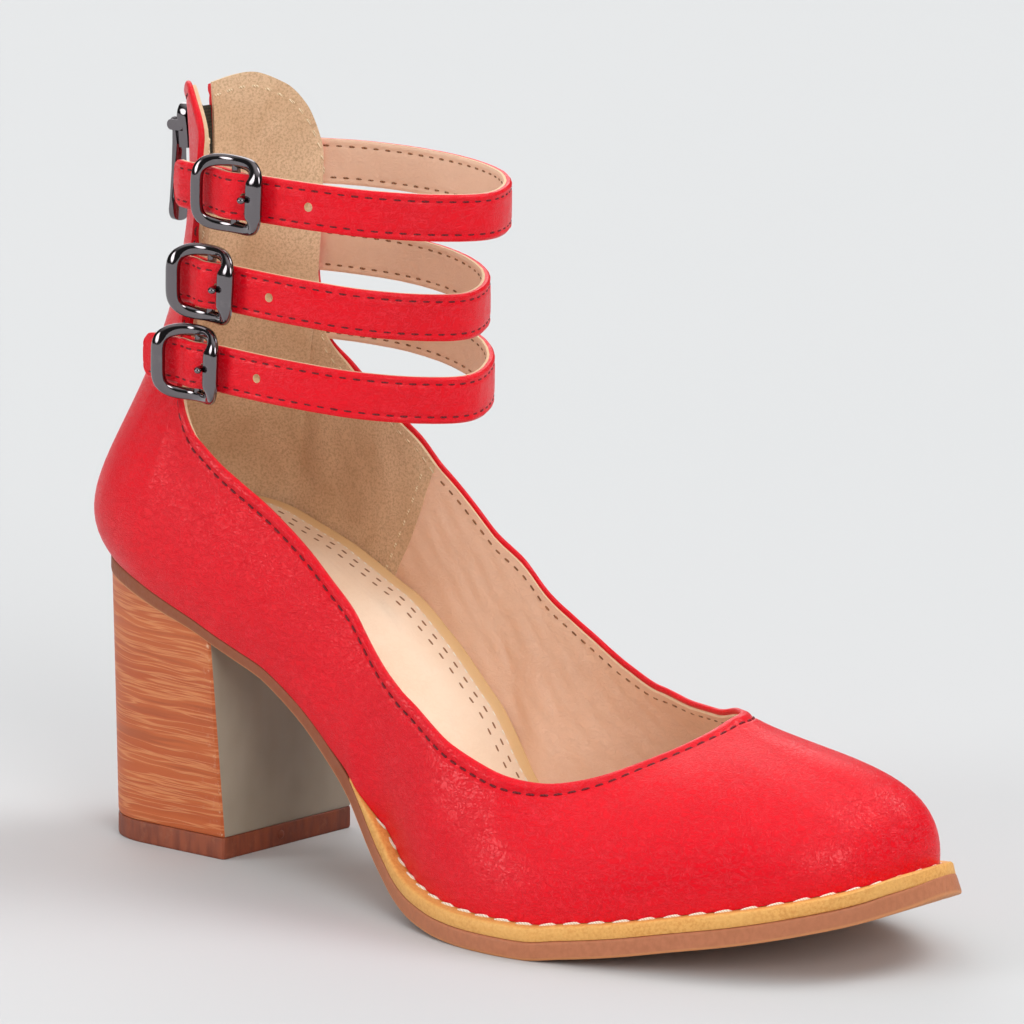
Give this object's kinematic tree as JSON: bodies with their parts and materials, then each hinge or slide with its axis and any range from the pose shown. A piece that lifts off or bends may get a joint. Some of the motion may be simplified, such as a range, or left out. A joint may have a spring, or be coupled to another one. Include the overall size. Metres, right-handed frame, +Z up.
{
  "type": "ankle strap pump",
  "caption": "Heeled pump for the right foot with an almond toe, high side tabs, buckled ankle straps, a back zip and a block heel.",
  "frame": {"origin": "middle of the footprint on the ground", "axes": "+X towards the toe, +Y towards the inner side of the right foot, +Z up"},
  "size_m": [0.2284, 0.0874, 0.1732],
  "materials": {
    "upper_leather": "semi-gloss crackled grain",
    "strap_leather": "semi-gloss crackled grain",
    "outsole_leather": "matte stacked sole edge",
    "welt_leather": "matte natural edge",
    "sock_leather": "satin lining leather",
    "heel_wood": "stacked veneer, waxed",
    "lift_rubber": "matte",
    "buckle_metal": "dark polished gunmetal",
    "zip_fabric": "woven tape",
    "zip_metal": "dark polished gunmetal"
  },
  "bodies": {
    "shoe": {"upper": "upper_leather", "strap_top": "strap_leather", "strap_middle": "strap_leather", "strap_lower": "strap_leather", "chape_top": "strap_leather", "chape_middle": "strap_leather", "chape_lower": "strap_leather", "zip_patch": "strap_leather", "outsole": "outsole_leather", "welt": "welt_leather", "insole": "sock_leather", "heel_block": "heel_wood", "top_lift": "lift_rubber", "buckle_top": "buckle_metal", "buckle_middle": "buckle_metal", "buckle_lower": "buckle_metal", "prong_top": "buckle_metal", "prong_middle": "buckle_metal", "prong_lower": "buckle_metal", "zip_tape": "zip_fabric", "zip_chain": "zip_metal", "zip_slider": "zip_metal"},
    "pull": {"zip_pull": "zip_metal"}
  },
  "joints": [
    {"name": "pull_swing", "type": "hinge", "parent": "shoe", "child": "pull", "pos_m": [-0.09693, 0.003, 0.16137], "axis": [0, 1, 0], "range_deg": [-8, 150]}
  ]
}
